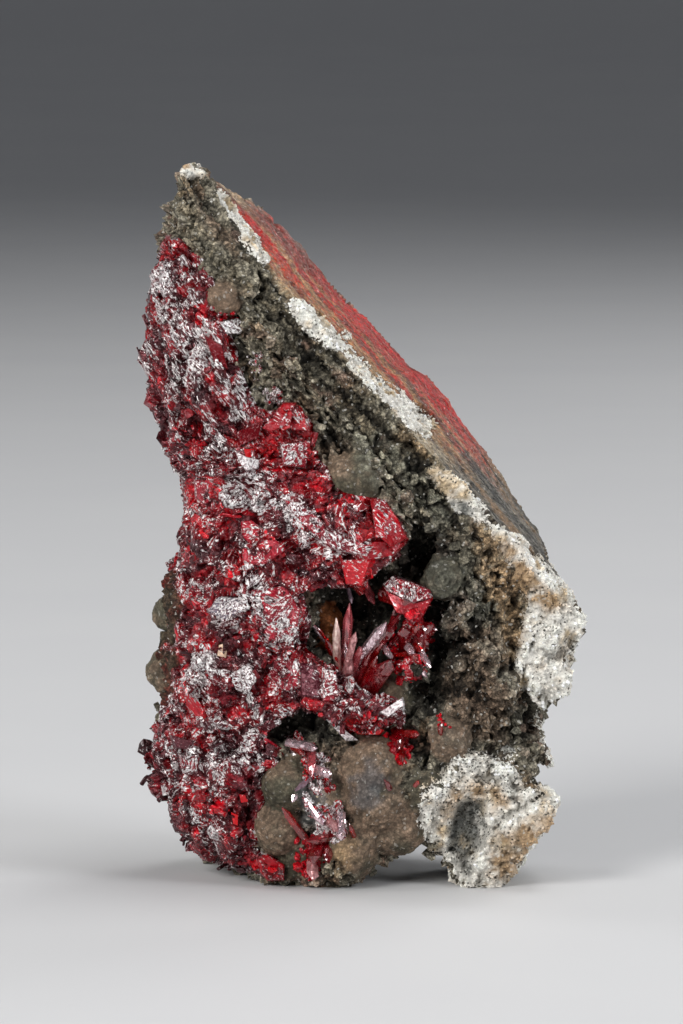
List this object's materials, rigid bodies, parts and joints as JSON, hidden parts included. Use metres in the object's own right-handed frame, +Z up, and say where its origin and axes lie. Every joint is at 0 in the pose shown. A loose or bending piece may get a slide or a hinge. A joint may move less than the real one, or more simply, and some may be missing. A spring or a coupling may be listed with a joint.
{
  "type": "proustite specimen",
  "caption": "Wedge of dark vein rock with calcite bands, brown nodules and a crust and free crystals of ruby silver ore; stands on its flat feet.",
  "frame": {"origin": "middle of the bounding box in X and Y, on the surface that the specimen stands on", "axes": "+Z up along the longest extent, +X to the viewer's right in the picture, +Y away from the viewer"},
  "size_m": [0.0524, 0.035, 0.0833],
  "materials": {
    "vein_rock": "rough, grainy, porous, with white sugary bands and smooth brown nodules",
    "proustite_crust": "dark red, etched and crumpled, with bright metallic glints",
    "proustite_crystal": "clear deep red, very high lustre"
  },
  "bodies": {
    "root": {"rock": "vein_rock", "crust": "proustite_crust", "pocket_spray": "proustite_crystal", "pocket_block": "proustite_crystal", "pocket_fan": "proustite_crystal", "drop_cluster": "proustite_crystal", "nodule_cluster_upper": "proustite_crystal", "nodule_cluster_lower": "proustite_crystal", "prism_left": "proustite_crystal", "prism_middle": "proustite_crystal", "chip_right": "proustite_crystal", "prism_small": "proustite_crystal", "speck_right": "proustite_crystal"}
  },
  "joints": []
}
